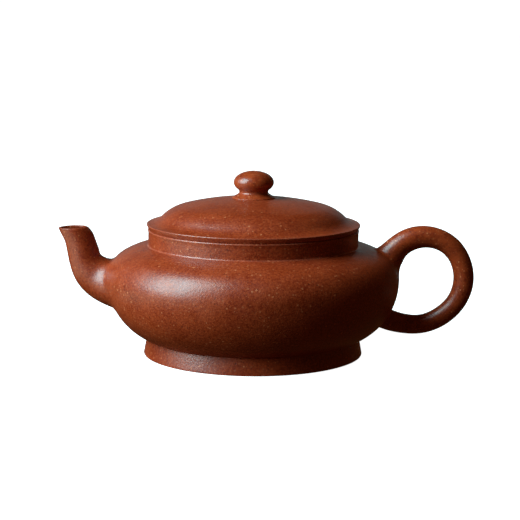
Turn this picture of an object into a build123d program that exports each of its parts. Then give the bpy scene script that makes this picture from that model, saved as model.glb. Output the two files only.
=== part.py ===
from build123d import *
import os
from math import asin, cos, degrees, radians, sin

# A hand-built teapot of unglazed clay, made of luted clay pieces: a paddled belly on a foot ring,
# a top disc with a neck, a spout with a ball strainer, a ring handle, and a lift-off lid.
# Millimetres, +Z up. The origin is the centre of the foot on the pot's axis, at table level.
# The spout points to -X and the handle to +X.

# Foot and base
FOOT_RADIUS = 42.0
FOOT_TOP_RADIUS = 41.1
FOOT_HEIGHT = 6.5
FOOT_INNER_RADIUS = 35.6
FOOT_EDGE_ROUND = 0.4
BASE_UNDERSIDE = 3.2
BASE_RADIUS = 38.4

# Belly: a bowl curve up to the equator, a tighter turn, and a flatter curve in to the neck
BELLY_RADIUS = 56.1
EQUATOR_HEIGHT = 28.8
BOWL_CURVE = 24.1
TURN_CURVE = 11.4
TURN_SWEEP = 63.0
SHOULDER_CURVE = 28.7
WALL = 2.6
HOLLOW_BOWL_CURVE = 22.6
TOP_DISC_RADIUS = 46.0

# Neck, and the seat that the lid rests on
BORE_RADIUS = 37.1
NECK_RADIUS = 40.3
NECK_FOOT = 38.0
MOUTH_FLARE_START = 46.9
MOUTH_RADIUS = 40.6
SEAT_HEIGHT = 48.1
MOUTH_EDGE_ROUND = 0.35

# Lid: a shallow crown, a rounded shoulder and a cove that runs out to a thin lip
LID_TOP = 60.2
CROWN_CURVE = 119.5
CROWN_SWEEP = 13.4
LID_SHOULDER_CURVE = 15.8
LID_SLOPE = 45.2
COVE_CURVE = 8.55
LIP_RADIUS = 40.9
LIP_EDGE_HEIGHT = 49.7
LID_PLATE_RADIUS = 38.6
LID_PLATE_UNDERSIDE = 49.3
LID_WALL = 2.8
RIM_EDGE_ROUND = 0.35
FLANGE_RADIUS = 36.75
FLANGE_INNER_RADIUS = 34.4
FLANGE_DEPTH = 7.5
FLANGE_EDGE_ROUND = 0.6

# Knob, with the vent hole down its axis
KNOB_CENTRE = 65.95
KNOB_RADIUS = 7.7
KNOB_HALF_HEIGHT = 4.4
KNOB_UNDERCUT = 40.0
WAIST_RADIUS = 5.55
WAIST_HEIGHT = 62.2
SKIRT_RADIUS = 8.8
SKIRT_EDGE_HEIGHT = 60.2
SKIRT_SLOPE = 26.0
VENT_RADIUS = 1.0

# Spout sections, from inside the belly to the mouth: centre X, centre Z, lean of the section
# from level in degrees, half width in the pot's middle plane, half width across it, and the
# thickness of the clay there
SPOUT_SECTIONS = [
    (-49.5, 26.6, 88.0, 10.8, 10.8, 2.4),
    (-55.6, 27.1, 80.0, 8.9, 8.9, 2.4),
    (-59.95, 29.05, 64.0, 7.95, 7.9, 2.3),
    (-63.05, 32.1, 43.0, 7.0, 7.1, 2.2),
    (-64.75, 35.8, 20.0, 6.2, 6.5, 1.9),
    (-65.5, 39.4, 4.0, 6.1, 6.1, 1.7),
    (-66.7, 43.5, 0.0, 6.0, 5.75, 1.5),
    (-67.95, 46.2, 1.0, 6.1, 5.5, 1.3),
    (-69.2, 48.15, 2.0, 5.6, 5.2, 1.1),
]
BORE_RUN_OUT = 2.0

# Ball strainer inside the belly, over the spout's hole
STRAINER_CENTRE = (-51.5, 0.0, 27.0)
STRAINER_RADIUS = 9.6
STRAINER_WALL = 1.6
STRAINER_HOLE_RADIUS = 1.1
STRAINER_RINGS = [(28.0, 6), (57.0, 10)]

# Handle: centre X, centre Z, half width in the pot's middle plane and half width across it, from
# the upper root, which is buried in the belly, round to the lower root
HANDLE_SECTIONS = [
    (47.3, 33.2, 7.6, 7.2),
    (51.6, 36.75, 5.95, 5.8),
    (54.5, 40.3, 4.85, 4.9),
    (59.6, 44.1, 4.45, 4.4),
    (67.4, 45.3, 4.15, 4.1),
    (75.65, 41.7, 3.9, 3.95),
    (80.15, 34.6, 3.9, 3.9),
    (80.8, 26.9, 3.93, 3.9),
    (78.0, 19.8, 3.8, 3.85),
    (72.4, 14.4, 3.77, 3.8),
    (65.0, 11.4, 3.65, 3.7),
    (58.3, 11.5, 3.8, 3.85),
    (52.3, 13.0, 4.1, 4.3),
    (46.0, 16.2, 4.6, 5.2),
]


def spin(*edges):
    """A solid of revolution round the pot's axis, from edges drawn as (radius, height)."""
    return revolve(Plane.XZ * make_face(edges), Axis.Z)


def ring(corners, rounds):
    """A ring round the pot's axis, from (radius, height) corners and each corner's rounding."""
    return spin(*FilletPolyline(*corners, radius=rounds, close=True).edges())


def disc(radius, low, high):
    """A plain disc on the pot's axis between two heights."""
    return Pos(0, 0, (low + high) / 2) * Cylinder(radius, high - low)


def belly_form(inset, bowl_curve):
    """The belly as a solid form, or its hollow when inset by the wall's thickness."""
    turn_curve = TURN_CURVE - inset
    shoulder_curve = SHOULDER_CURVE - inset
    turn_centre = BELLY_RADIUS - TURN_CURVE
    bowl_centre = BELLY_RADIUS - inset - bowl_curve
    offset = SHOULDER_CURVE - TURN_CURVE
    shoulder_r = turn_centre - offset * cos(radians(TURN_SWEEP))
    shoulder_z = EQUATOR_HEIGHT - offset * sin(radians(TURN_SWEEP))
    drop = degrees(asin((EQUATOR_HEIGHT - FOOT_HEIGHT) / bowl_curve))
    bowl = CenterArc((bowl_centre, EQUATOR_HEIGHT), bowl_curve, -drop, drop)
    turn = CenterArc((turn_centre, EQUATOR_HEIGHT), turn_curve, 0, TURN_SWEEP)
    shoulder = CenterArc((shoulder_r, shoulder_z), shoulder_curve, TURN_SWEEP, 90 - TURN_SWEEP)
    top = shoulder_z + shoulder_curve
    inside = Polyline((shoulder_r, top), (0, top), (0, FOOT_HEIGHT), bowl @ 0)
    return spin(bowl, turn, shoulder, *inside.edges())


def lid_curves(inset, end_angle):
    """The lid's crown and shoulder curves, and the shoulder's centre. end_angle is in degrees."""
    crown_z = LID_TOP - CROWN_CURVE
    offset = CROWN_CURVE - LID_SHOULDER_CURVE
    centre = Vector(offset * sin(radians(CROWN_SWEEP)), crown_z + offset * cos(radians(CROWN_SWEEP)))
    sweep = 90 - CROWN_SWEEP - end_angle
    crown = CenterArc((0, crown_z), CROWN_CURVE - inset, 90 - CROWN_SWEEP, CROWN_SWEEP)
    shoulder = CenterArc(centre, LID_SHOULDER_CURVE - inset, end_angle, sweep)
    return crown, shoulder, centre


def lid_form():
    """The lid's outside as a solid form down to the seat, with the cove out to its lip."""
    crown, shoulder, centre = lid_curves(0, 90 - LID_SLOPE)
    reach = LID_SHOULDER_CURVE + COVE_CURVE
    cove_centre = centre + Vector(sin(radians(LID_SLOPE)), cos(radians(LID_SLOPE))) * reach
    cove = CenterArc(cove_centre, COVE_CURVE, 270 - LID_SLOPE, LID_SLOPE)
    edge = cove @ 1
    inside = Polyline(edge, (edge.X, SEAT_HEIGHT), (0, SEAT_HEIGHT), crown @ 1)
    return spin(crown, shoulder, cove, *inside.edges())


def lid_hollow():
    """The hollow under the lid, down to the flat that the flange and the rim are luted to."""
    centre = lid_curves(LID_WALL, 0)[2]
    drop = (LID_PLATE_UNDERSIDE - centre.Y) / (LID_SHOULDER_CURVE - LID_WALL)
    crown, shoulder, _ = lid_curves(LID_WALL, degrees(asin(drop)))
    inside = Polyline(shoulder @ 0, (0, LID_PLATE_UNDERSIDE), crown @ 1)
    return spin(crown, shoulder, *inside.edges())


def spout_form(bore):
    """The spout as a loft through its sections, or its bore, which runs out past the mouth."""
    faces = []
    for x, z, lean, in_plane, across, clay in SPOUT_SECTIONS:
        inset = clay if bore else 0
        tilt = radians(lean)
        plane = Plane(
            origin=(x, 0, z),
            x_dir=(-cos(tilt), 0, -sin(tilt)),
            z_dir=(-sin(tilt), 0, cos(tilt)),
        )
        faces.append(plane * Ellipse(in_plane - inset, across - inset))
    if bore:
        faces.append(Pos(0, 0, BORE_RUN_OUT) * faces[-1])
    return loft(faces)


def strainer_form(hollow):
    """The ball strainer: a thin dome bulging into the belly, pierced by rings of holes."""
    shell = Sphere(STRAINER_RADIUS) - Sphere(STRAINER_RADIUS - STRAINER_WALL)
    drill = Pos(0, 0, STRAINER_RADIUS) * Cylinder(STRAINER_HOLE_RADIUS, 2 * STRAINER_RADIUS)
    shell -= Rot(0, 90, 0) * drill
    for tilt, count in STRAINER_RINGS:
        for step in range(count):
            shell -= Rot(360 * step / count, 0, 0) * Rot(0, 90 - tilt, 0) * drill
    return Pos(*STRAINER_CENTRE) * shell & hollow


def handle_form():
    """The handle as a loft through nearly round sections square to its centre line."""
    line = Spline(*[(x, 0, z) for x, z, _, _ in HANDLE_SECTIONS])
    faces = []
    for x, z, in_plane, across in HANDLE_SECTIONS:
        spot = line.param_at_point((x, 0, z))
        section = Plane(origin=line @ spot, x_dir=(0, 1, 0), z_dir=line % spot)
        faces.append(section * Ellipse(across, in_plane))
    return loft(faces)


def knob_form():
    """The knob: a flattened ball on a waist that flares to a skirt on the lid."""
    skirt = Vector(SKIRT_RADIUS, SKIRT_EDGE_HEIGHT)
    ball = EllipticalCenterArc(
        (0, KNOB_CENTRE),
        KNOB_RADIUS,
        KNOB_HALF_HEIGHT,
        start_angle=-KNOB_UNDERCUT,
        arc_size=90 + KNOB_UNDERCUT,
    )
    flare_end = (cos(radians(SKIRT_SLOPE)), -sin(radians(SKIRT_SLOPE)))
    flare = Spline(
        ball @ 0,
        (WAIST_RADIUS, WAIST_HEIGHT),
        skirt,
        tangents=[-(ball % 0), (0, -1), flare_end],
    )
    low = LID_PLATE_UNDERSIDE
    inside = Polyline(skirt, (SKIRT_RADIUS, low), (0, low), ball @ 1)
    return spin(ball, flare, *inside.edges())


belly = belly_form(0, BOWL_CURVE)
hollow = belly_form(WALL, HOLLOW_BOWL_CURVE)
spout_bore = spout_form(True)
top_disc = disc(TOP_DISC_RADIUS, EQUATOR_HEIGHT, SEAT_HEIGHT)
mouth_bore = disc(BORE_RADIUS, EQUATOR_HEIGHT, SEAT_HEIGHT)
lid = lid_form()
lid_plate = disc(LID_PLATE_RADIUS, LID_PLATE_UNDERSIDE, LID_TOP)
vent = disc(VENT_RADIUS, SEAT_HEIGHT, KNOB_CENTRE + 2 * KNOB_HALF_HEIGHT)

parts = {
    "foot_ring": ring(
        [
            (FOOT_INNER_RADIUS, 0),
            (FOOT_RADIUS, 0),
            (FOOT_TOP_RADIUS, FOOT_HEIGHT),
            (BASE_RADIUS, FOOT_HEIGHT),
            (BASE_RADIUS, BASE_UNDERSIDE),
            (FOOT_INNER_RADIUS, BASE_UNDERSIDE),
        ],
        [FOOT_EDGE_ROUND, FOOT_EDGE_ROUND, 0, 0, 0, 0],
    ),
    "base_disc": disc(BASE_RADIUS, BASE_UNDERSIDE, FOOT_HEIGHT),
    "belly_wall": belly - hollow - top_disc - spout_bore,
    "shoulder_disc": (belly - hollow & top_disc) - mouth_bore,
    "neck_collar": ring(
        [
            (BORE_RADIUS, NECK_FOOT),
            (NECK_RADIUS, NECK_FOOT),
            (NECK_RADIUS, MOUTH_FLARE_START),
            (MOUTH_RADIUS, SEAT_HEIGHT),
            (BORE_RADIUS, SEAT_HEIGHT),
        ],
        [0, 0, 0, MOUTH_EDGE_ROUND, MOUTH_EDGE_ROUND],
    )
    - belly,
    "spout": spout_form(False) - belly - spout_bore,
    "spout_strainer": strainer_form(hollow),
    "handle": handle_form() - belly,
    "lid_flange": ring(
        [
            (FLANGE_INNER_RADIUS, SEAT_HEIGHT - FLANGE_DEPTH),
            (FLANGE_RADIUS, SEAT_HEIGHT - FLANGE_DEPTH),
            (FLANGE_RADIUS, LID_PLATE_UNDERSIDE),
            (FLANGE_INNER_RADIUS, LID_PLATE_UNDERSIDE),
        ],
        [FLANGE_EDGE_ROUND, FLANGE_EDGE_ROUND, 0, 0],
    ),
    "lid_dome": (lid & lid_plate) - lid_hollow() - vent,
    "lid_rim": (
        ring(
            [
                (BORE_RADIUS, SEAT_HEIGHT),
                (MOUTH_RADIUS, SEAT_HEIGHT),
                (LIP_RADIUS, LIP_EDGE_HEIGHT),
                (LIP_RADIUS, LID_TOP),
                (BORE_RADIUS, LID_TOP),
            ],
            [0, RIM_EDGE_ROUND, 0, 0, 0],
        )
        & lid
    )
    - lid_plate,
    "knob": knob_form() - lid - vent,
}

os.makedirs("parts", exist_ok=True)
for name, shape in parts.items():
    export_step(shape, f"parts/{name}.step")

water = hollow & disc(BELLY_RADIUS, FOOT_HEIGHT, SEAT_HEIGHT)
print("Capacity to the shoulder, ml:", round(water.volume / 1000, 1))
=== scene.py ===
from math import asin, atan2, cos, degrees, hypot, pi, radians, sin, sqrt, tan

import bmesh
import bpy
import numpy as np
from mathutils import Matrix, Vector


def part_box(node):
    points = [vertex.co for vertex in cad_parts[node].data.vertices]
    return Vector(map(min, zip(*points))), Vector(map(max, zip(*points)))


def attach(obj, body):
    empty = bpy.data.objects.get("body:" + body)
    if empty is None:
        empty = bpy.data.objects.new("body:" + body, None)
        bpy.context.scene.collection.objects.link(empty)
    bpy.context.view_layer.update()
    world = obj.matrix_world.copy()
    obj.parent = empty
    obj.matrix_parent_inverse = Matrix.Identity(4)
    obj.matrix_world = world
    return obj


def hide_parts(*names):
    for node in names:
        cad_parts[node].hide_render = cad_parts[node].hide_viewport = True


# The looks of an unglazed clay teapot. Shapes are worked out in millimetres, in the frame's own
# axes, and become metres when a mesh is made.
MM = 0.001

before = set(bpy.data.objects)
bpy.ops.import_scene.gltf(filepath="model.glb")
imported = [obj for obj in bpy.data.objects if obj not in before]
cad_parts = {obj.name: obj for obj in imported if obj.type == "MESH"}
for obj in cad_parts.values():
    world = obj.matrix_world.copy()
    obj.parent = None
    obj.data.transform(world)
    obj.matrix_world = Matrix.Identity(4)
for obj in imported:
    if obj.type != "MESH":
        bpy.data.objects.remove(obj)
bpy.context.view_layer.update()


def side(node, corner, axis):
    """One side of a CAD node's box, in millimetres. corner is 0 for lowest and 1 for highest."""
    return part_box(node)[corner][axis] / MM


# ---------------------------------------------------------------- sizes

# Sizes that the frame gives. The foot spreads a little more than the CAD's, and the knob's
# skirt a little less.
FOOT_SPREAD = 0.3
SKIRT_SLIMMING = 0.5
FOOT_RADIUS = side("foot_ring", 1, 0) + FOOT_SPREAD
FOOT_HEIGHT = side("foot_ring", 1, 2)
BASE_RADIUS = side("base_disc", 1, 0)
BASE_UNDERSIDE = side("base_disc", 0, 2)
BELLY_RADIUS = side("belly_wall", 1, 1)
SEAT_HEIGHT = side("neck_collar", 1, 2)
LID_TOP = side("lid_dome", 1, 2)
LIP_RADIUS = side("lid_rim", 1, 0)
FLANGE_RADIUS = side("lid_flange", 1, 0)
FLANGE_LOW = side("lid_flange", 0, 2)
LID_PLATE_UNDERSIDE = side("lid_flange", 1, 2)
KNOB_TOP = side("knob", 1, 2)
SKIRT_RADIUS = side("knob", 1, 0) - SKIRT_SLIMMING

# Belly curves: the bowl, the turn at the equator, and the shoulder
EQUATOR_HEIGHT = 28.8
BOWL_CURVE = 24.1
TURN_CURVE = 11.4
TURN_SWEEP = 63.0
SHOULDER_CURVE = 28.7
WALL = 2.6
HOLLOW_BOWL_CURVE = 22.6

# Foot: its outline and rounded edges, the crease under the belly in degrees along the bowl, and
# how far the hidden parts lap the base and the belly
FOOT_TOP_RADIUS = 41.0
FOOT_INNER_RADIUS = 35.6
FOOT_INNER_EDGE = 0.5
FOOT_OUTER_EDGE = 0.2
FOOT_TOP_EDGE = 0.15
CREASE_SWEEP = (2.4, 1.2)
FOOT_LAP = 1.0
FOOT_SINK = 0.2
CREASE_COVER = 0.1
FOOT_TUCK = (1.2, 0.8)

# Base disc: the first ring of points round its middle, how far and how widely each face is
# dished, and the rings that trimming leaves, with their rate in radians for each millimetre
BASE_FIRST_RING = 0.4
BASE_STEPS = 44
TOP_DISH = (0.25, 16)
UNDERSIDE_DISH = (0.3, 18)
TRIM_RING_DEPTH = 0.05
TRIM_RING_RATE = 2.1

# Neck and mouth. The neck's skirt lies on the shoulder: how far it and its end reach out from
# the neck, and how far its end sinks in. The depth is how far the neck goes into the shoulder.
BORE_RADIUS = 37.1
NECK_RADIUS = 40.3
NECK_SKIRT = 1.3
NECK_SKIRT_END = 1.8
NECK_SKIRT_SINK = 0.06
NECK_FILLET = 0.6
NECK_DEPTH = 1.0
MOUTH_FLARE_START = 46.9
MOUTH_RADIUS = 40.6
MOUTH_EDGE = 0.4
BORE_EDGE = 0.3

# Lid
CROWN_CURVE = 119.5
CROWN_SWEEP = 13.4
LID_SHOULDER_CURVE = 15.8
LID_SLOPE = 45.2
COVE_CURVE = 8.55
LIP_EDGE = 0.3
LIP_EDGE_HEIGHT = 49.7
SEAT_STEP = 0.55
SEAT_GAP = 0.03
SEAT_EDGE = 0.2
LID_WALL = 2.8
FLANGE_INNER_RADIUS = 34.4
FLANGE_EDGE = 0.6
VENT_RADIUS = 1.0

# Knob: a flattened ball on a waist over a flared skirt. Each hold says how long the curve to the
# waist or the skirt keeps to its two directions, and the sink is how far it goes into the lid.
KNOB_RADIUS = 7.7
KNOB_HALF_HEIGHT = 4.4
KNOB_UNDERCUT = 40.0
KNOB_STEPS = 40
KNOB_SINK = 0.5
WAIST_RADIUS = 5.55
WAIST_RISE = 2.0
WAIST_HOLD = (0.9, 0.9)
SKIRT_SLOPE = 36.0
SKIRT_HOLD = (0.6, 0.9)
SKIRT_EDGE = 0.14
VENT_EDGE = 0.25

# Spout sections from inside the belly to the mouth: centre X and Z, lean of the section from
# level in degrees, half width in the pot's middle plane, half width across it, clay thickness
SPOUT_SECTIONS = [
    (-49.5, 26.6, 88.0, 10.8, 17.0, 2.4),
    (-55.6, 27.1, 80.0, 8.9, 12.4, 2.4),
    (-59.95, 29.05, 64.0, 7.95, 8.8, 2.3),
    (-63.05, 32.1, 43.0, 7.0, 7.3, 2.2),
    (-64.75, 35.8, 20.0, 6.2, 6.5, 1.9),
    (-65.5, 39.4, 4.0, 6.1, 6.1, 1.7),
    (-66.7, 43.5, 0.0, 6.0, 5.75, 1.5),
    (-67.95, 46.2, 1.0, 6.1, 5.5, 1.3),
    (-69.2, 48.15, 2.0, 5.6, 5.2, 1.1),
]
ROOT_CLAY = SPOUT_SECTIONS[0][5]
MOUTH_CLAY = SPOUT_SECTIONS[-1][5]

# Rows along the spout from its mouth: how many are read from the sections, how many the outside
# keeps above its flare, and which of the rows the bore has
SPOUT_STEPS = 90
SPOUT_STEM_STEPS = 60
BORE_STEPS = slice(2, 72, 2)

# The spout's rounded mouth: how far in from the outside, and how high over the last section
MOUTH_ROUNDING = [
    (MOUTH_CLAY, -0.45),
    (MOUTH_CLAY - 0.04, -0.2),
    (MOUTH_CLAY - 0.13, -0.06),
    (MOUTH_CLAY - 0.3, 0.0),
    (MOUTH_CLAY / 2, 0.02),
    (0.3, 0.0),
    (0.12, -0.07),
    (0.03, -0.2),
]

# The plug that cuts the spout's hole: where it starts and ends, as shares of the spout's length
PLUG_START = -0.12
PLUG_END = 0.42
PLUG_STEPS = 14

# Handle sections from the upper root to the lower: centre X and Z, half widths in and across
HANDLE_SECTIONS = [
    (47.3, 33.2, 7.6, 7.2),
    (51.6, 36.75, 5.95, 5.8),
    (54.5, 40.3, 4.85, 4.9),
    (59.6, 44.1, 4.45, 4.4),
    (67.4, 45.3, 4.15, 4.1),
    (75.65, 41.7, 3.9, 3.95),
    (80.15, 34.6, 3.9, 3.9),
    (80.8, 26.9, 3.93, 3.9),
    (78.0, 19.8, 3.8, 3.85),
    (72.4, 14.4, 3.77, 3.8),
    (65.0, 11.4, 3.65, 3.7),
    (58.3, 11.5, 3.8, 3.85),
    (52.3, 13.0, 4.1, 4.3),
    (46.0, 16.2, 4.6, 5.2),
]
HANDLE_STEPS = 240
HANDLE_STEM_STEPS = 90

# Flares where a limb lies on the belly. Each has a size in millimetres, and how much the size
# changes round the limb. The pull is how far the flare's curve keeps to its two directions, as a
# share of its sizes. The tucks take its edge on along the belly and under it, so that no edge
# stands proud.
SPOUT_FLARE = (1.1, 2.2)
SPOUT_LANDING = (1.1, 7.0)
UPPER_ROOT_FLARE = (2.0, -1.2)
LOWER_ROOT_FLARE = (1.3, 0.5)
FLARE_STEPS = 16
FLARE_PULL = 0.6
FLARE_TUCKS = [(0.5, 0.012), (1.0, 0.06), (1.1, 0.6)]

# How finely meshes are divided, in numbers of points and in millimetres
ROUND_COLUMNS = 288
LIMB_COLUMNS = 96
ARC_STEP = 0.9
ROUNDING_STEPS = 7
CURVE_STEPS = 12
OUTLINE_STEP = 1.2
FINE_STEP = 0.8
KNOB_STEP = 0.6

# The length in metres under which an edge that a cut leaves counts as a sliver
SLIVER = 1e-6

# Unevenness of hand-shaped clay: for each wave, its depth, its lobes round the pot, its twist in
# radians for each millimetre of height, and where it starts. Moving all of it inward by a little
# keeps it inside the CAD's surface.
WAVES = [(0.045, 3, 0.045, 0.7), (0.03, 5, -0.11, 2.1), (0.018, 11, 0.23, 0.0)]
WAVE_INWARD = 0.09

# Edges that use has rubbed, which also carry a painted highlight: the bend that counts as 1, in
# radians for each millimetre, and how much of the count shows no rubbing and no painted highlight
FULL_EDGE_BEND = 1.5
UNMARKED_SHARE = 0.3


# ---------------------------------------------------------------- outlines

def arc(centre, radius, start, end):
    """Points (radius, height) along an arc, between two angles in degrees."""
    count = max(3, int(abs(radians(end - start)) * radius / ARC_STEP) + 2)
    angles = np.radians(np.linspace(start, end, count))
    return [(centre[0] + radius * cos(a), centre[1] + radius * sin(a)) for a in angles]


def rounded(points):
    """A closed outline from (radius, height) corners. A third number rounds that corner."""
    done = []
    for i, point in enumerate(points):
        if len(point) == 2:
            done.append(point)
            continue
        here = Vector(point[:2])
        before = (Vector(points[i - 1][:2]) - here).normalized()
        after = (Vector(points[(i + 1) % len(points)][:2]) - here).normalized()
        half = before.angle(after) / 2
        reach = point[2] / tan(half)
        centre = here + (before + after).normalized() * point[2] / sin(half)
        first = here + before * reach - centre
        last = here + after * reach - centre
        turn = first.angle_signed(last)
        for k in range(ROUNDING_STEPS + 1):
            spin = Matrix.Rotation(-turn * k / ROUNDING_STEPS, 2)
            done.append(tuple(centre + spin @ first))
    return done


def refined(outline, step):
    """The outline with long straight stretches divided, so that the surface can undulate."""
    done = []
    for i, point in enumerate(outline):
        following = outline[(i + 1) % len(outline)]
        count = max(1, int(hypot(following[0] - point[0], following[1] - point[1]) / step))
        for k in range(count):
            share = k / count
            done.append(tuple(a + (b - a) * share for a, b in zip(point, following)))
    return done


def hermite(start, leave, end, arrive, hold):
    """Points of a curve between two points, leaving and arriving along two directions. hold
    says how long it keeps to each direction, as shares of the straight way."""
    way = hypot(end[0] - start[0], end[1] - start[1])
    leave = Vector(leave).normalized() * way * hold[0]
    arrive = Vector(arrive).normalized() * way * hold[1]
    points = []
    for t in np.linspace(0, 1, CURVE_STEPS):
        a, b = 2 * t ** 3 - 3 * t ** 2 + 1, t ** 3 - 2 * t ** 2 + t
        c, d = 3 * t ** 2 - 2 * t ** 3, t ** 3 - t ** 2
        points.append(tuple(a * Vector(start) + b * leave + c * Vector(end) + d * arrive))
    return points


def bezier(corners, steps):
    """Points of a cubic curve from its four corners, without the first."""
    t = np.linspace(0, 1, steps + 1)[1:, None]
    a, b, c, d = corners
    return (1 - t) ** 3 * a + 3 * t * (1 - t) ** 2 * b + 3 * t * t * (1 - t) * c + t ** 3 * d


def spline(knots, values, at):
    """A natural cubic spline through values at knots, read at the places in at."""
    knots, values = np.asarray(knots, float), np.asarray(values, float)
    gap = np.diff(knots)
    n = len(knots)
    system, right = np.zeros((n, n)), np.zeros(n)
    system[0, 0] = system[-1, -1] = 1
    slope = np.diff(values) / gap
    for i in range(1, n - 1):
        system[i, i - 1:i + 2] = gap[i - 1], 2 * (gap[i - 1] + gap[i]), gap[i]
        right[i] = 6 * (slope[i] - slope[i - 1])
    bend = np.linalg.solve(system, right)
    i = np.clip(np.searchsorted(knots, at) - 1, 0, n - 2)
    a, b = knots[i + 1] - at, at - knots[i]
    cubic = (bend[i] * a ** 3 + bend[i + 1] * b ** 3) / (6 * gap[i])
    line_a = (values[i] / gap[i] - bend[i] * gap[i] / 6) * a
    line_b = (values[i + 1] / gap[i] - bend[i + 1] * gap[i] / 6) * b
    return cubic + line_a + line_b


def lengths(table):
    """How far each row of a table of sections is along the line through their X and Z."""
    steps = np.hypot(np.diff(table[:, 0]), np.diff(table[:, 1]))
    return np.concatenate([[0], np.cumsum(steps)])


# ---------------------------------------------------------------- the belly's surface

def belly_curves(inset, bowl_curve):
    """Centres, radii and end angles of the belly's three arcs, or of its hollow's."""
    turn_centre = (BELLY_RADIUS - TURN_CURVE, EQUATOR_HEIGHT)
    offset = SHOULDER_CURVE - TURN_CURVE
    sweep = radians(TURN_SWEEP)
    shoulder_centre = (turn_centre[0] - offset * cos(sweep), EQUATOR_HEIGHT - offset * sin(sweep))
    drop = degrees(asin((EQUATOR_HEIGHT - FOOT_HEIGHT) / bowl_curve))
    bowl = ((BELLY_RADIUS - inset - bowl_curve, EQUATOR_HEIGHT), bowl_curve, -drop, 0)
    turn = (turn_centre, TURN_CURVE - inset, 0, TURN_SWEEP)
    shoulder = (shoulder_centre, SHOULDER_CURVE - inset, TURN_SWEEP, 90)
    return bowl, turn, shoulder


BOWL, TURN, SHOULDER = belly_curves(0, BOWL_CURVE)
HOLLOW_BOWL, HOLLOW_TURN, HOLLOW_SHOULDER = belly_curves(WALL, HOLLOW_BOWL_CURVE)


def height_on(curve, radius):
    """The height of an arc's upper side at a radius from the pot's axis."""
    return curve[0][1] + sqrt(curve[1] ** 2 - (radius - curve[0][0]) ** 2)


def angle_at(curve, radius):
    """The angle, in degrees, at which an arc's upper side reaches a radius from the axis."""
    return degrees(atan2(height_on(curve, radius) - curve[0][1], radius - curve[0][0]))


def off_belly(points):
    """Distances of points outside the belly's surface, and the surface's normals there."""
    across = np.hypot(points[:, 0], points[:, 1])
    height = points[:, 2]
    turned_by = np.arctan2(height - EQUATOR_HEIGHT, across - TURN[0][0])
    on_bowl = height < EQUATOR_HEIGHT
    on_turn = ~on_bowl & (turned_by <= radians(TURN_SWEEP))
    pick = [on_bowl, on_turn]
    centre_r = np.select(pick, [BOWL[0][0], TURN[0][0]], SHOULDER[0][0])
    centre_z = np.select(pick, [BOWL[0][1], TURN[0][1]], SHOULDER[0][1])
    curve = np.select(pick, [BOWL[1], TURN[1]], SHOULDER[1])
    out_r, out_z = across - centre_r, height - centre_z
    reach = np.hypot(out_r, out_z)
    flat = out_r / reach / across
    normals = np.stack([flat * points[:, 0], flat * points[:, 1], out_z / reach], axis=1)
    return reach - curve, normals


# ---------------------------------------------------------------- meshes

def hand_made(points):
    """Points moved a little, in the same way for every piece, as hand-shaped clay is uneven."""
    angle = np.arctan2(points[..., 1], points[..., 0])
    height = points[..., 2]
    across = np.hypot(points[..., 0], points[..., 1])
    wave = sum(size * np.sin(lobes * angle + twist * height + start)
               for size, lobes, twist, start in WAVES)
    wave = (wave - WAVE_INWARD) * np.clip(across / FLANGE_RADIUS, 0, 1)
    moved = points.copy()
    moved[..., 0] += wave * np.cos(angle)
    moved[..., 1] += wave * np.sin(angle)
    return moved


def band_faces(count, columns, closed):
    """Faces between rows of points that close round on themselves, and last to first if closed."""
    faces = []
    for i in range(count if closed else count - 1):
        here, there = i * columns, (i + 1) % count * columns
        for j in range(columns):
            k = (j + 1) % columns
            faces.append((here + j, here + k, there + k, there + j))
    return faces


def cap_faces(count, columns):
    """Fans of faces over the first and last rows, to two more points at the rows' middles."""
    start, end, last = count * columns, count * columns + 1, (count - 1) * columns
    faces = []
    for j in range(columns):
        k = (j + 1) % columns
        faces.append((start, k, j))
        faces.append((end, last + j, last + k))
    return faces


def face_outwards(mesh):
    """Turns all of a closed mesh's faces over if they look into the clay."""
    solid = bmesh.new()
    solid.from_mesh(mesh)
    if solid.calc_volume(signed=True) < 0:
        mesh.flip_normals()
    solid.free()


def without_slivers(mesh):
    """Takes out the slivers that a cut can leave, so that the mesh stays closed."""
    solid = bmesh.new()
    solid.from_mesh(mesh)
    bmesh.ops.dissolve_degenerate(solid, edges=solid.edges, dist=SLIVER)
    solid.to_mesh(mesh)
    solid.free()


def skin(name, rows, close_rows=True):
    """A smooth mesh from rows of points that close round on themselves. rows is (n, m, 3) in
    millimetres. Without close_rows, the first and last rows are each capped at their middle."""
    count, columns = rows.shape[:2]
    points = rows.reshape(-1, 3)
    faces = band_faces(count, columns, close_rows)
    if not close_rows:
        points = np.vstack([points, rows[0].mean(0), rows[-1].mean(0)])
        faces += cap_faces(count, columns)
    mesh = bpy.data.meshes.new(name)
    mesh.from_pydata([tuple(p) for p in points * MM], [], faces)
    mesh.polygons.foreach_set("use_smooth", [True] * len(faces))
    mesh.update()
    face_outwards(mesh)
    piece = bpy.data.objects.new(name, mesh)
    bpy.context.scene.collection.objects.link(piece)
    return piece


def spun(outline):
    """Rows of points from (radius, height) points taken round the pot's axis."""
    angles = np.linspace(0, 2 * pi, ROUND_COLUMNS, endpoint=False)
    x = outline[:, :1] * np.cos(angles)
    y = outline[:, :1] * np.sin(angles)
    return np.stack([x, y, np.repeat(outline[:, 1:], ROUND_COLUMNS, axis=1)], axis=2)


def rubbed_and_highlit_edges(outline):
    """How sharply the outline bends at each of its points, from 0 to 1, for rubbed edges with a
    painted highlight.
    """
    before = outline - np.roll(outline, 1, axis=0)
    after = np.roll(outline, -1, axis=0) - outline
    turn = np.arctan2(before[:, 0] * after[:, 1] - before[:, 1] * after[:, 0], (before * after).sum(1))
    length = (np.hypot(*before.T) + np.hypot(*after.T)) / 2
    return np.clip(np.abs(turn) / length / FULL_EDGE_BEND - UNMARKED_SHARE, 0, 1)


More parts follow.
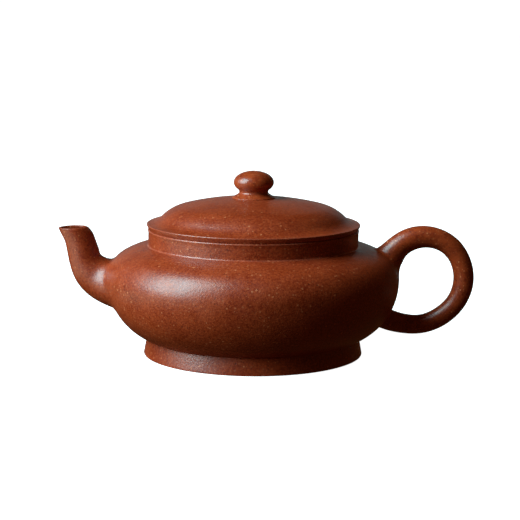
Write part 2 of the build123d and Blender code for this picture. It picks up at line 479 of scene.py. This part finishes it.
def turned(name, outline, step=OUTLINE_STEP, uneven=True):
    """A ring of clay turned round the pot's axis from a closed outline of (radius, height)."""
    outline = np.array(refined(outline, step))
    rows = spun(outline)
    piece = skin(name, hand_made(rows) if uneven else rows)
    # The edge attribute marks rubbed edges, which the clay lightens with a painted highlight.
    edge = piece.data.attributes.new("edge", "FLOAT", "POINT")
    edge.data.foreach_set("value", np.repeat(rubbed_and_highlit_edges(outline), ROUND_COLUMNS))
    return piece


def finish_piece(piece, body, slot, material, *nodes):
    """The piece rides on its body, hides the CAD nodes whose place it takes, and gets its material."""
    piece.data.materials.append(material)
    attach(piece, body)
    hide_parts(*nodes)


# ---------------------------------------------------------------- the pot's turned pieces

def belly_outline():
    """The belly and its top disc in one outline: outside up, over the mouth's edge, inside down."""
    outside = arc(*BOWL) + arc(*TURN)[1:]
    outside += arc(*SHOULDER[:3], angle_at(SHOULDER, BORE_RADIUS))[1:]
    inside = arc(*HOLLOW_SHOULDER[:2], angle_at(HOLLOW_SHOULDER, BORE_RADIUS), TURN_SWEEP)
    inside += arc(*HOLLOW_TURN[:2], TURN_SWEEP, 0)[1:]
    inside += arc(*HOLLOW_BOWL[:2], 0, HOLLOW_BOWL[2])[1:]
    return outside + inside


def neck_outline():
    """The neck, with a small fillet on the shoulder and a flare to its rounded seat."""
    skirt = NECK_RADIUS + NECK_SKIRT
    skirt_end = NECK_RADIUS + NECK_SKIRT_END
    low = height_on(SHOULDER, BORE_RADIUS) - NECK_DEPTH
    return rounded([
        (BORE_RADIUS, SEAT_HEIGHT, BORE_EDGE),
        (BORE_RADIUS, low),
        (skirt, low),
        (skirt_end, height_on(SHOULDER, skirt_end) - NECK_SKIRT_SINK),
        (skirt, height_on(SHOULDER, skirt)),
        (NECK_RADIUS, height_on(SHOULDER, NECK_RADIUS), NECK_FILLET),
        (NECK_RADIUS, MOUTH_FLARE_START),
        (MOUTH_RADIUS, SEAT_HEIGHT, MOUTH_EDGE),
    ])


def foot_outline():
    """The foot ring, flaring to the table, with a tight crease under the belly."""
    crease = arc(*BOWL[:2], *(BOWL[2] + sweep for sweep in CREASE_SWEEP))
    edge = crease[0]
    lap = BASE_RADIUS - FOOT_LAP
    return rounded([
        (lap, FOOT_HEIGHT - FOOT_SINK),
        (lap, BASE_UNDERSIDE),
        (FOOT_INNER_RADIUS, BASE_UNDERSIDE),
        (FOOT_INNER_RADIUS, 0, FOOT_INNER_EDGE),
        (FOOT_RADIUS, 0, FOOT_OUTER_EDGE),
        (FOOT_TOP_RADIUS, FOOT_HEIGHT, FOOT_TOP_EDGE),
        crease[-1],
        (edge[0], edge[1] + CREASE_COVER),
        (edge[0] - FOOT_TUCK[0], edge[1] + FOOT_TUCK[1]),
    ])


def base_rows():
    """The base disc, dished slightly, with the rings that trimming leaves."""
    radii = np.linspace(BASE_FIRST_RING, BASE_RADIUS, BASE_STEPS)
    fade = np.clip(1 - radii / BASE_RADIUS, 0, 1)
    ripple = TRIM_RING_DEPTH * np.sin(radii * TRIM_RING_RATE) * fade
    top = FOOT_HEIGHT - TOP_DISH[0] * np.exp(-((radii / TOP_DISH[1]) ** 2)) + ripple
    low = BASE_UNDERSIDE + UNDERSIDE_DISH[0] * np.exp(-((radii / UNDERSIDE_DISH[1]) ** 2)) + ripple
    return spun(np.vstack([np.stack([radii, top], 1), np.stack([radii, low], 1)[::-1]]))


# ---------------------------------------------------------------- the lid's turned pieces

def lid_curves(inset):
    """The lid's crown and shoulder: centres and radii, and the angle where they meet."""
    offset = CROWN_CURVE - LID_SHOULDER_CURVE
    sweep = radians(CROWN_SWEEP)
    crown = ((0, LID_TOP - CROWN_CURVE), CROWN_CURVE - inset)
    centre = (offset * sin(sweep), crown[0][1] + offset * cos(sweep))
    return crown, (centre, LID_SHOULDER_CURVE - inset), 90 - CROWN_SWEEP


CROWN, LID_SHOULDER, CROWN_END = lid_curves(0)


def lid_outside():
    """The lid's upper side: the crown, the shoulder, and the cove down to the lip's edge."""
    slope = radians(LID_SLOPE)
    reach = LID_SHOULDER_CURVE + COVE_CURVE
    cove = (LID_SHOULDER[0][0] + reach * sin(slope), LID_SHOULDER[0][1] + reach * cos(slope))
    drop = sqrt(COVE_CURVE ** 2 - (LIP_RADIUS - cove[0]) ** 2)
    lip = degrees(atan2(-drop, LIP_RADIUS - cove[0]))
    outside = arc(*CROWN, angle_at(CROWN, VENT_RADIUS), CROWN_END)
    outside += arc(*LID_SHOULDER, CROWN_END, 90 - LID_SLOPE)[1:]
    outside += arc(cove, COVE_CURVE, -90 - LID_SLOPE, lip)[1:-1]
    return outside + [(LIP_RADIUS, cove[1] - drop, LIP_EDGE)]


def lid_hollow():
    """The hollow under the lid, from the flange up to the vent."""
    crown, shoulder, _ = lid_curves(LID_WALL)
    start = degrees(asin((LID_PLATE_UNDERSIDE - shoulder[0][1]) / shoulder[1]))
    return arc(*shoulder, start, CROWN_END) + arc(*crown, CROWN_END, angle_at(crown, VENT_RADIUS))[1:]


def lid_outline():
    """The lid: its upper side, the step and seat under its lip, and its hollow."""
    seat = SEAT_HEIGHT + SEAT_GAP
    rim = [
        (LIP_RADIUS, LIP_EDGE_HEIGHT),
        (MOUTH_RADIUS - SEAT_STEP, seat, SEAT_EDGE),
        (BORE_RADIUS, seat, SEAT_EDGE),
        (BORE_RADIUS, LID_PLATE_UNDERSIDE),
    ]
    return rounded(lid_outside() + rim + lid_hollow())


def flange_outline():
    """The ring under the lid that centres it in the mouth."""
    return rounded([
        (FLANGE_INNER_RADIUS, LID_PLATE_UNDERSIDE),
        (FLANGE_INNER_RADIUS, FLANGE_LOW, FLANGE_EDGE),
        (FLANGE_RADIUS, FLANGE_LOW, FLANGE_EDGE),
        (FLANGE_RADIUS, LID_PLATE_UNDERSIDE),
    ])


def knob_outline():
    """The knob: a flattened ball, its waist, the flared skirt, and the vent down its axis."""
    centre = KNOB_TOP - KNOB_HALF_HEIGHT
    low = -radians(KNOB_UNDERCUT)
    high = radians(90) - asin(VENT_RADIUS / KNOB_RADIUS)
    ball = [
        (KNOB_RADIUS * cos(a), centre + KNOB_HALF_HEIGHT * sin(a))
        for a in np.linspace(high, low, KNOB_STEPS)
    ]
    undercut = (KNOB_RADIUS * sin(low), -KNOB_HALF_HEIGHT * cos(low))
    waist = (WAIST_RADIUS, LID_TOP + WAIST_RISE)
    slope = radians(SKIRT_SLOPE)
    skirt = (SKIRT_RADIUS, LID_TOP)
    flare = hermite(ball[-1], undercut, waist, (0, -1), WAIST_HOLD)[1:]
    flare += hermite(waist, (0, -1), skirt, (cos(slope), -sin(slope)), SKIRT_HOLD)[1:-1]
    underside = height_on(CROWN, SKIRT_RADIUS) - KNOB_SINK
    return rounded([(VENT_RADIUS, ball[0][1], VENT_EDGE)] + ball[2:] + flare + [
        (*skirt, SKIRT_EDGE),
        (SKIRT_RADIUS, underside),
        (VENT_RADIUS, underside),
    ])


# ---------------------------------------------------------------- flares on the belly

def unit(vector):
    """The vector with a length of 1."""
    return vector / np.linalg.norm(vector)


def along_surface(way, normal):
    """The direction of way with nothing of it along the normal."""
    return unit(way - (way @ normal) * normal)


def into_belly(line):
    """The number of the first point of a line inside the belly, and where the line goes in."""
    off, _ = off_belly(line)
    first = np.argmax(off < 0)
    share = off[first - 1] / (off[first - 1] - off[first])
    return first, line[first - 1] + share * (line[first] - line[first - 1])


def shortened(line, less, count):
    """The line made shorter at its end, as a number of points spaced evenly."""
    length = np.concatenate([[0], np.cumsum(np.linalg.norm(np.diff(line, axis=0), axis=1))])
    at = np.linspace(0, length[-1] - less, count)
    return np.stack([np.interp(at, length, line[:, axis]) for axis in range(3)], axis=1)


def flared(line, middles, reach, landing_reach, count):
    """One line along a limb, from its free end, turned out at its root to lie on the belly.
    middles are the middles of the limb's rows, and count is how many points the stem keeps."""
    first, meet = into_belly(line)
    stem = shortened(np.vstack([line[:first], meet]), reach, count)
    inward = unit(meet - stem[-1])
    outward = along_surface(meet - middles[first], off_belly(meet[None])[1][0])
    landing = meet + outward * landing_reach
    gap, normal = (value[0] for value in off_belly(landing[None]))
    landing = landing - gap * normal
    outward = along_surface(outward, normal)
    leaving = stem[-1] + inward * FLARE_PULL * reach
    arriving = landing - outward * FLARE_PULL * landing_reach
    curve = bezier((stem[-1], leaving, arriving, landing), FLARE_STEPS)
    tucked = [landing + outward * along - normal * under for along, under in FLARE_TUCKS]
    return np.vstack([stem, curve, tucked])


def rooted(rows, reach, landing_reach, count):
    """A limb's rows, from its free end, with a flare that lies on the belly at its root. The
    reaches are the flare's sizes along the limb and over the belly, for each column."""
    middles = rows.mean(axis=1)
    columns = zip(rows.transpose(1, 0, 2), reach, landing_reach)
    lines = [flared(line, middles, size, landing, count) for line, size, landing in columns]
    return np.stack(lines, axis=1)


# ---------------------------------------------------------------- spout and handle

LIMB_ANGLES = np.linspace(0, 2 * pi, LIMB_COLUMNS, endpoint=False)


def spout_sections(at):
    """The spout's section values at places from 0, inside the belly, to 1, at the mouth."""
    table = np.array(SPOUT_SECTIONS)
    knots = lengths(table)
    return np.stack([spline(knots / knots[-1], column, at) for column in table.T], axis=1)


def spout_rings(sections, inset, lift=0.0):
    """One ring of points for each section, inset by some clay and lifted along the spout."""
    rings = []
    for (x, z, lean, in_plane, across, _), inward in zip(sections, inset):
        tilt = radians(lean)
        out = np.array([-cos(tilt), 0, -sin(tilt)])
        up = np.array([-sin(tilt), 0, cos(tilt)])
        aside = np.array([0, -1, 0])
        ring = np.outer((in_plane - inward) * np.cos(LIMB_ANGLES), out)
        ring += np.outer((across - inward) * np.sin(LIMB_ANGLES), aside)
        rings.append(np.array([x, 0, z]) + up * lift + ring)
    return np.array(rings)


def bore_rings(sections, inset):
    """Rings of the spout's bore, which stays round where the outside broadens to its root."""
    inner = sections.copy()
    inner[:, 4] = np.minimum(sections[:, 3], sections[:, 4])
    return spout_rings(inner, inset)


def spout_rows():
    """The spout: bore up, over the thin rounded mouth, outside down to the flare on the belly."""
    sections = spout_sections(np.linspace(1, 0, SPOUT_STEPS))
    sideways = np.sin(LIMB_ANGLES) ** 2
    reach = SPOUT_FLARE[0] + SPOUT_FLARE[1] * sideways
    landing_reach = SPOUT_LANDING[0] + SPOUT_LANDING[1] * sideways
    outside = spout_rings(sections[1:], np.zeros(len(sections) - 1))
    outside = hand_made(rooted(outside, reach, landing_reach, SPOUT_STEM_STEPS))
    mouth = [spout_rings(sections[:1], [inset], lift)[0] for inset, lift in MOUTH_ROUNDING]
    inner = sections[BORE_STEPS]
    return np.concatenate([bore_rings(inner, inner[:, 5])[::-1], np.array(mouth), outside])


def handle_rings():
    """The handle's rings along its whole centre line, from the upper root to the lower."""
    table = np.array(HANDLE_SECTIONS)
    knots = lengths(table)
    at = np.linspace(0, knots[-1], HANDLE_STEPS)
    x, z, in_plane, across = (spline(knots, column, at) for column in table.T)
    along_x, along_z = np.gradient(x), np.gradient(z)
    length = np.hypot(along_x, along_z)
    rings = []
    for i in range(HANDLE_STEPS):
        out = np.array([-along_z[i], 0, along_x[i]]) / length[i]
        ring = np.outer(in_plane[i] * np.cos(LIMB_ANGLES), out)
        ring += np.outer(across[i] * np.sin(LIMB_ANGLES), np.array([0, 1, 0]))
        rings.append(np.array([x[i], 0, z[i]]) + ring)
    return np.array(rings)


def handle_rows():
    """The handle: a round bar along its centre line, with a small flare at each root."""
    rings = handle_rings()
    middle = HANDLE_STEPS // 2
    upper_reach = UPPER_ROOT_FLARE[0] + UPPER_ROOT_FLARE[1] * np.cos(LIMB_ANGLES)
    lower_reach = LOWER_ROOT_FLARE[0] + LOWER_ROOT_FLARE[1] * np.cos(LIMB_ANGLES)
    upper = rooted(rings[middle::-1], upper_reach, upper_reach, HANDLE_STEM_STEPS)
    lower = rooted(rings[middle:], lower_reach, lower_reach, HANDLE_STEM_STEPS)
    return np.concatenate([upper[:0:-1], lower])


def bore_plug():
    """A plug of the bore's shape through the belly's wall."""
    sections = spout_sections(np.linspace(PLUG_START, PLUG_END, PLUG_STEPS))
    return skin("bore_plug", bore_rings(sections, np.full(PLUG_STEPS, ROOT_CLAY)), close_rows=False)


def cut_spout_hole(belly):
    """Cuts the bore's hole through the belly's wall."""
    plug = bore_plug()
    cut = belly.modifiers.new("hole", "BOOLEAN")
    cut.operation = "DIFFERENCE"
    cut.solver = "EXACT"
    cut.object = plug
    bpy.context.view_layer.update()
    whole = belly.evaluated_get(bpy.context.evaluated_depsgraph_get())
    belly.modifiers.clear()
    belly.data = bpy.data.meshes.new_from_object(whole)
    without_slivers(belly.data)
    bpy.data.objects.remove(plug)


# ---------------------------------------------------------------- materials

# Each clay: its middle colour, its roughness, the depth of its grain in millimetres, the
# strength of its specks, and its mottling's scale, detail and strength
BODY_CLAY = ((0.27, 0.0255, 0.0048), 0.37, 0.04, 1.0, (90, 4, 0.35))
BURNISHED_CLAY = ((0.255, 0.0235, 0.0042), 0.335, 0.045, 2.2, (330, 3, 0.9))
INNER_CLAY = ((0.26, 0.045, 0.016), 0.6, 0.15, 1.0, (90, 4, 0.35))

# Factors on the middle colour for the clay's deep and pale areas and its dark grains
DEEP = (0.6, 0.43, 0.34)
PALE = (1.25, 1.75, 2.1)
DARK = (0.3, 0.3, 0.3)

# Colours of the pale grains, and of the painted highlight on the edges that use has rubbed
OCHRE = (0.6, 0.17, 0.065)
PAINTED_EDGE_HIGHLIGHT = (0.6, 0.17, 0.11)

# Noises: scale, detail, and for the sand roughness too. Each range is the part of a noise's
# values that is used.
SAND = (1350, 2, 0.65)
SAND_RANGE = (0.37, 0.63)
CLOUD_RANGE = (0.32, 0.68)
HANDLING = (180, 3)
HANDLING_RANGE = (0.3, 0.7)
# Patches along the rubbed edges, for their smoother finish and their painted highlight
EDGE_PATCHES = (700, 3)
EDGE_PATCH_RANGE = (0.3, 0.6)
FINE_GRAIN = (1600, 2)
COARSE_GRAIN = (800, 2)

# Grains: cells in a metre, size as a share of a cell, and the share of cells that hold one.
# A grain is full as far as its core, and fades from there to its edge.
DUST = (1500, 0.5, 0.4)
SMALL_GRAINS = (680, 0.36, 0.45)
LARGE_GRAINS = (330, 0.17, 0.35)
DARK_GRAINS = (1000, 0.45, 0.4)
GRAIN_CORE = 0.5

# How much each layer colours the clay
SAND_SHARE = 0.68
DUST_SHARE = 0.3
SMALL_SHARE = 0.62
LARGE_SHARE = 0.6
DARK_SHARE = 0.7
# The rubbed edges are lightened towards a pale rose: a painted highlight
EDGE_HIGHLIGHT_SHARE = 0.25
LEAST_RUBBED_AND_HIGHLIT = 0.3

# Roughness: how far handling takes it down and up, and what small grains and rubbing add
HANDLED_DOWN = -0.04
HANDLED_UP = 0.05
GRAIN_ROUGHNESS = 0.15
RUBBED_ROUGHNESS = -0.1

# How high each layer stands in the bump, against the coarse grain
FINE_GRAIN_HEIGHT = 1.2
DUST_HEIGHT = 0.25
DARK_GRAIN_HEIGHT = -0.35


class Shading:
    """One material's nodes, with a short method for each kind of node that clay needs."""

    def __init__(self, name):
        self.material = bpy.data.materials.new(name)
        self.material.use_nodes = True
        self.nodes = self.material.node_tree.nodes
        self.links = self.material.node_tree.links
        self.place = self.nodes.new("ShaderNodeTexCoord").outputs["Object"]

    def drive(self, socket, value):
        """Links a socket of the material's shader to another node's value."""
        self.links.new(value, self.nodes["Principled BSDF"].inputs[socket])

    def noise(self, scale, detail, rough=0.5):
        """Soft noise through the clay, about 0 to 1."""
        node = self.nodes.new("ShaderNodeTexNoise")
        node.inputs["Scale"].default_value = scale
        node.inputs["Detail"].default_value = detail
        node.inputs["Roughness"].default_value = rough
        self.links.new(self.place, node.inputs["Vector"])
        return node.outputs["Fac"]

    def spread(self, value, span, to_low, to_high):
        """The value with a span of it, low to high, stretched to a new one and held inside it."""
        node = self.nodes.new("ShaderNodeMapRange")
        node.inputs["From Min"].default_value = span[0]
        node.inputs["From Max"].default_value = span[1]
        node.inputs["To Min"].default_value = to_low
        node.inputs["To Max"].default_value = to_high
        self.links.new(value, node.inputs["Value"])
        return node.outputs["Result"]

    def combine(self, operation, first, second):
        """Arithmetic on two values, each a number or another node's value."""
        node = self.nodes.new("ShaderNodeMath")
        node.operation = operation
        for socket, value in zip(node.inputs, (first, second)):
            if isinstance(value, (int, float)):
                socket.default_value = value
            else:
                self.links.new(value, socket)
        return node.outputs["Value"]

    def add_share(self, total, share, layer):
        """The total with a share of a layer added to it."""
        return self.combine("ADD", total, self.combine("MULTIPLY", layer, share))

    def blend(self, share, first, second):
        """A mix of two colours, each an RGB triple or another node's colour."""
        node = self.nodes.new("ShaderNodeMix")
        node.data_type = "RGBA"
        self.links.new(share, node.inputs[0])
        for socket, value in zip(node.inputs[6:8], (first, second)):
            if isinstance(value, tuple):
                socket.default_value = (*value, 1)
            else:
                self.links.new(value, socket)
        return node.outputs[2]

    def grains(self, scale, size, chance):
        """Round grains in a share of the cells, each of its own size and strength."""
        node = self.nodes.new("ShaderNodeTexVoronoi")
        node.inputs["Scale"].default_value = scale
        self.links.new(self.place, node.inputs["Vector"])
        split = self.nodes.new("ShaderNodeSeparateColor")
        self.links.new(node.outputs["Color"], split.inputs["Color"])
        reach = self.spread(split.outputs["Green"], (0, 1), size / 2, size)
        near = self.combine("DIVIDE", node.outputs["Distance"], reach)
        strength = self.spread(split.outputs["Red"], (1 - chance, 1), 0, 1)
        return self.combine("MULTIPLY", self.spread(near, (GRAIN_CORE, 1), 1, 0), strength)

    def rubbed_and_highlit(self):
        """Where the mesh's edge attribute says that use has rubbed the clay, in patches, which also
        carry a painted highlight.
        """
        edge = self.nodes.new("ShaderNodeAttribute")
        edge.attribute_name = "edge"
        patches = self.spread(self.noise(*EDGE_PATCHES), EDGE_PATCH_RANGE, LEAST_RUBBED_AND_HIGHLIT, 1)
        return self.combine("MULTIPLY", edge.outputs["Fac"], patches)

    def bump(self, height, depth):
        """A normal that follows a height, where a height of 1 is a depth in millimetres."""
        node = self.nodes.new("ShaderNodeBump")
        node.inputs["Distance"].default_value = depth * MM
        self.links.new(height, node.inputs["Height"])
        return node.outputs["Normal"]


def tinted(colour, factors):
    """A colour with each channel multiplied by its factor."""
    return tuple(channel * factor for channel, factor in zip(colour, factors))


def mottled(shading, colour, scale, detail, strength):
    """The clay's own colour: cloudy between deep and pale, with fine sand in it."""
    clouds = shading.spread(shading.noise(scale, detail), CLOUD_RANGE, 0, strength)
    sand = shading.spread(shading.noise(*SAND), SAND_RANGE, 0, SAND_SHARE)
    share = shading.combine("ADD", clouds, sand)
    return shading.blend(share, tinted(colour, DEEP), tinted(colour, PALE))


def coated(shading, base, coatings):
    """A base colour under coatings of (layer, share, colour), one over another."""
    for layer, share, colour in coatings:
        base = shading.blend(shading.combine("MULTIPLY", layer, share), base, colour)
    return base


def clay(name, colour, roughness, grain, specks, mottling):
    """Unglazed fired clay: mottled colour, ochre specks, dark grains, a sandy bump, rubbed edges with
    a painted highlight.
    """
    shading = Shading(name)
    layers = DUST, SMALL_GRAINS, LARGE_GRAINS, DARK_GRAINS
    dust, small, large, dark = (shading.grains(*layer) for layer in layers)
    rubbed_and_highlit = shading.rubbed_and_highlit()

    shading.drive("Base Color", coated(shading, mottled(shading, colour, *mottling), [
        (dust, DUST_SHARE * specks, OCHRE),
        (small, SMALL_SHARE * specks, OCHRE),
        (large, LARGE_SHARE * specks, OCHRE),
        (dark, DARK_SHARE, tinted(colour, DARK)),
        # Painted highlight: the rubbed edges are lightened towards a pale rose
        (rubbed_and_highlit, EDGE_HIGHLIGHT_SHARE, PAINTED_EDGE_HIGHLIGHT),
    ]))

    smooth, dull = roughness + HANDLED_DOWN, roughness + HANDLED_UP
    worn = shading.spread(shading.noise(*HANDLING), HANDLING_RANGE, smooth, dull)
    worn = shading.add_share(worn, GRAIN_ROUGHNESS, small)
    shading.drive("Roughness", shading.add_share(worn, RUBBED_ROUGHNESS, rubbed_and_highlit))

    height = shading.noise(*COARSE_GRAIN)
    height = shading.add_share(height, FINE_GRAIN_HEIGHT, shading.noise(*FINE_GRAIN))
    height = shading.add_share(height, DUST_HEIGHT, dust)
    height = shading.add_share(height, DARK_GRAIN_HEIGHT, dark)
    shading.drive("Normal", shading.bump(height, grain))
    return shading.material


# ---------------------------------------------------------------- the pieces

def build_pot(body_clay, burnished, inner):
    """The pieces that stay on the table: belly, neck, foot, base, spout, handle and strainer."""
    belly = turned("belly", belly_outline())
    cut_spout_hole(belly)
    finish_piece(belly, "pot", "body_clay", body_clay, "belly_wall", "shoulder_disc")
    neck = turned("neck", neck_outline(), FINE_STEP)
    finish_piece(neck, "pot", "body_clay", body_clay, "neck_collar")
    foot = turned("foot", foot_outline(), FINE_STEP)
    finish_piece(foot, "pot", "body_clay", body_clay, "foot_ring")
    base = skin("base", base_rows(), close_rows=False)
    finish_piece(base, "pot", "body_clay", body_clay, "base_disc")
    finish_piece(skin("spout_tube", spout_rows()), "pot", "body_clay", body_clay, "spout")
    handle = skin("handle_ring", handle_rows(), close_rows=False)
    finish_piece(handle, "pot", "burnished_clay", burnished, "handle")
    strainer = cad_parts["spout_strainer"]
    strainer.data.materials.clear()
    strainer.data.materials.append(inner)


def build_lid(body_clay, burnished, inner):
    """The lid with its knob, and the flange that lifts with it."""
    lid = turned("lid_top", lid_outline())
    finish_piece(lid, "lid", "body_clay", body_clay, "lid_dome", "lid_rim")
    knob = turned("lid_knob", knob_outline(), KNOB_STEP, uneven=False)
    finish_piece(knob, "lid", "burnished_clay", burnished, "knob")
    flange = turned("lid_flange_skin", flange_outline(), FINE_STEP, uneven=False)
    finish_piece(flange, "lid_flange_ring", "inner_clay", inner, "lid_flange")


# ---------------------------------------------------------------- camera

VIEW_DISTANCE = 616.4
VIEW_ELEVATION = 9.365
VIEW_ROLL = 0.4565
VIEW_TARGET = (2.586, 0.0, 35.85)
SENSOR_WIDTH = 36
LENS = 111.05
NEAREST = 0.01
FARTHEST = 50


def make_camera():
    """The camera, in front of the pot and a little above it, slightly rolled."""
    lift, roll = radians(VIEW_ELEVATION), radians(VIEW_ROLL)
    back = Vector((0, -cos(lift), sin(lift)))
    right = Vector((1, 0, 0))
    up = back.cross(right)
    tilted_right = right * cos(roll) + up * sin(roll)
    tilted_up = up * cos(roll) - right * sin(roll)
    data = bpy.data.cameras.new("camera")
    data.sensor_width = SENSOR_WIDTH
    data.lens = LENS
    data.clip_start = NEAREST
    data.clip_end = FARTHEST
    camera = bpy.data.objects.new("camera", data)
    bpy.context.scene.collection.objects.link(camera)
    turn = Matrix((tilted_right, tilted_up, back)).transposed()
    place = (Vector(VIEW_TARGET) + back * VIEW_DISTANCE) * MM
    camera.matrix_world = Matrix.Translation(place) @ turn.to_4x4()
    bpy.context.scene.camera = camera


# ---------------------------------------------------------------- floor and light

FLOOR_RADIUS = 6
FLOOR_CORNERS = 96
FLOOR_COLOUR = (0.8, 0.8, 0.8, 1)
FLOOR_ROUGHNESS = 0.9
WHITE = (1, 1, 1, 1)
FLOOR_GLOW = 1.0
SURROUND_BRIGHTNESS = 1.05
ROOM_GLOW = (1.0, 0.4, 0.1, 1)
ROOM_BRIGHTNESS = 0.05

# Lights that face the pot: azimuth from the front towards +X and elevation, both in degrees, and
# distance in metres; width and height in metres; power in watts; colour
SOFTBOX = ((-69, 33, 1.1), 0.78, 1.05, 37.0, (0.63, 0.94, 1.0))
BACKDROP = ((184, 6, 1.6), 1.5, 0.8, 1.1, (0.6, 0.95, 1.0))
BACK_FILL = ((165, 8, 1.5), 1.2, 0.8, 12.0, (0.7, 0.97, 1.0))

# A card on the table, facing up: place and side in metres, power in watts, colour
CARD_PLACE = (-0.32, -0.16, 0.001)
CARD_SIDE = 0.4
CARD_POWER = 0.55
CARD_COLOUR = (0.7, 1.0, 0.75)


def floor_material():
    """The plain floor, bright enough by itself to be white wherever the lights fall."""
    material = bpy.data.materials.new("floor")
    material.use_nodes = True
    shader = material.node_tree.nodes["Principled BSDF"]
    shader.inputs["Base Color"].default_value = FLOOR_COLOUR
    shader.inputs["Roughness"].default_value = FLOOR_ROUGHNESS
    shader.inputs["Emission Color"].default_value = WHITE
    shader.inputs["Emission Strength"].default_value = FLOOR_GLOW
    return material


def make_floor():
    """A wide floor that the camera sees and that sends no light back to the pot."""
    bpy.ops.mesh.primitive_circle_add(vertices=FLOOR_CORNERS, radius=FLOOR_RADIUS, fill_type="NGON")
    floor = bpy.context.object
    floor.name = "floor"
    floor.data.materials.append(floor_material())
    floor.visible_diffuse = False
    floor.visible_glossy = False
    floor.visible_shadow = False


def make_surround():
    """A dim warm room for the pot, which the camera sees as white."""
    world = bpy.data.worlds.new("surround")
    bpy.context.scene.world = world
    world.use_nodes = True
    nodes, links = world.node_tree.nodes, world.node_tree.links
    room = nodes["Background"]
    room.inputs["Color"].default_value = ROOM_GLOW
    room.inputs["Strength"].default_value = ROOM_BRIGHTNESS
    white = nodes.new("ShaderNodeBackground")
    white.inputs["Color"].default_value = WHITE
    white.inputs["Strength"].default_value = SURROUND_BRIGHTNESS
    choose = nodes.new("ShaderNodeMixShader")
    links.new(nodes.new("ShaderNodeLightPath").outputs["Is Camera Ray"], choose.inputs["Fac"])
    links.new(room.outputs["Background"], choose.inputs[1])
    links.new(white.outputs["Background"], choose.inputs[2])
    links.new(choose.outputs["Shader"], nodes["World Output"].inputs["Surface"])


def around(azimuth, elevation, distance):
    """A place in metres, round the middle of the belly and at a distance from it."""
    turn, lift = radians(azimuth), radians(elevation)
    way = Vector((sin(turn) * cos(lift), -cos(turn) * cos(lift), sin(lift)))
    return Vector((0, 0, EQUATOR_HEIGHT * MM)) + way * distance


def area_light(name, place, way, width, height, power, colour):
    """A soft light at a place in metres, facing along way. The camera doesn't see it."""
    data = bpy.data.lights.new(name, "AREA")
    data.shape = "RECTANGLE"
    data.size = width
    data.size_y = height
    data.energy = power
    data.color = colour
    light = bpy.data.objects.new(name, data)
    bpy.context.scene.collection.objects.link(light)
    light.location = place
    light.rotation_euler = (-way).to_track_quat("Z", "Y").to_euler()
    light.visible_camera = False
    return light


def facing_light(name, where, *rest):
    """A soft light somewhere round the pot, facing it."""
    place = around(*where)
    return area_light(name, place, -place, *rest)


def make_lights():
    """The softbox, the dim backdrop, a fill that leaves no reflection, and the table's card."""
    facing_light("softbox", *SOFTBOX)
    facing_light("backdrop", *BACKDROP)
    facing_light("back_fill", *BACK_FILL).visible_glossy = False
    card = Vector(CARD_PLACE)
    area_light("table_card", card, Vector((0, 0, 1)), CARD_SIDE, CARD_SIDE, CARD_POWER, CARD_COLOUR)


body_clay = clay("body_clay", *BODY_CLAY)
burnished_clay = clay("burnished_clay", *BURNISHED_CLAY)
inner_clay = clay("inner_clay", *INNER_CLAY)
build_pot(body_clay, burnished_clay, inner_clay)
build_lid(body_clay, burnished_clay, inner_clay)
make_camera()
make_floor()
make_surround()
make_lights()
bpy.context.scene.view_settings.view_transform = "Standard"
